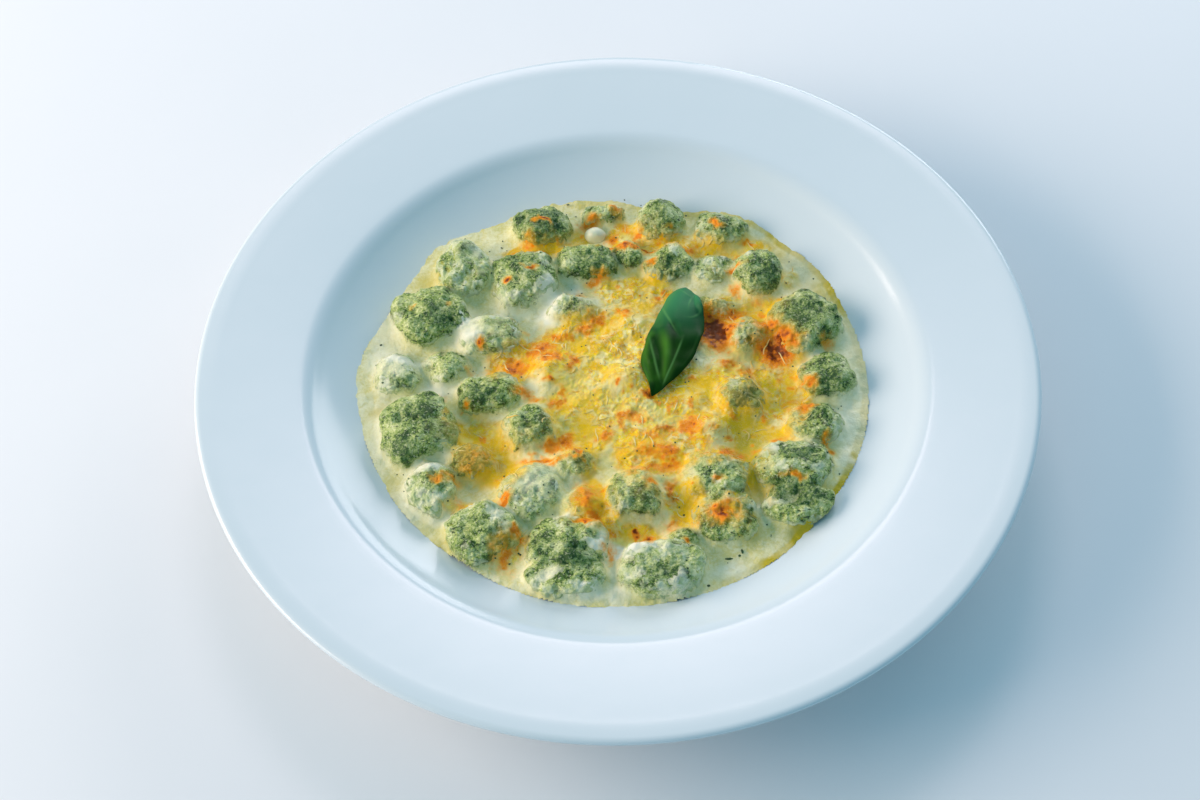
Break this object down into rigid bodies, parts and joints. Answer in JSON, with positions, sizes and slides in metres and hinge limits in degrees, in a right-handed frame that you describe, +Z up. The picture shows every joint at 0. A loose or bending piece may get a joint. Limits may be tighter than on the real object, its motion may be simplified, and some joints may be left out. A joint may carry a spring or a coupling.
{
  "type": "spinach and potato gnocchi in cream sauce, served in a wide-rimmed plate",
  "caption": "Green potato gnocchi baked in cream sauce under melted, browned cheese, topped with a basil leaf, in a round white plate with a wide rim.",
  "frame": {"origin": "on the table, under the centre of the plate's foot ring", "axes": "+Z up, +Y away from the person eating, +X to their right; the food is uneven and has no symmetry"},
  "size_m": [0.3, 0.3, 0.036],
  "materials": {
    "porcelain": "white glazed porcelain",
    "spinach_dough": "cooked spinach and potato dough, moist",
    "cream_sauce": "thick cream sauce, glossy",
    "melted_cheese": "melted cheese, oily and browned in spots",
    "cream": "white cream",
    "basil": "fresh basil leaf, glossy"
  },
  "bodies": {
    "root": {"plate": "porcelain", "gnocco_01": "spinach_dough", "gnocco_02": "spinach_dough", "gnocco_03": "spinach_dough", "gnocco_04": "spinach_dough", "gnocco_05": "spinach_dough", "gnocco_06": "spinach_dough", "gnocco_07": "spinach_dough", "gnocco_08": "spinach_dough", "gnocco_09": "spinach_dough", "gnocco_10": "spinach_dough", "gnocco_11": "spinach_dough", "gnocco_12": "spinach_dough", "gnocco_13": "spinach_dough", "gnocco_14": "spinach_dough", "gnocco_15": "spinach_dough", "gnocco_16": "spinach_dough", "gnocco_17": "spinach_dough", "gnocco_18": "spinach_dough", "gnocco_19": "spinach_dough", "gnocco_20": "spinach_dough", "gnocco_21": "spinach_dough", "gnocco_22": "spinach_dough", "gnocco_23": "spinach_dough", "gnocco_24": "spinach_dough", "gnocco_25": "spinach_dough", "gnocco_26": "spinach_dough", "gnocco_27": "spinach_dough", "gnocco_28": "spinach_dough", "gnocco_29": "spinach_dough", "gnocco_30": "spinach_dough", "gnocco_31": "spinach_dough", "gnocco_32": "spinach_dough", "gnocco_33": "spinach_dough", "gnocco_34": "spinach_dough", "gnocco_35": "spinach_dough", "gnocco_36": "spinach_dough", "gnocco_37": "spinach_dough", "gnocco_38": "spinach_dough", "gnocco_39": "spinach_dough", "gnocco_40": "spinach_dough", "cream_ball": "cream", "sauce": "cream_sauce", "melted_cheese": "melted_cheese", "basil_leaf": "basil"}
  },
  "joints": []
}
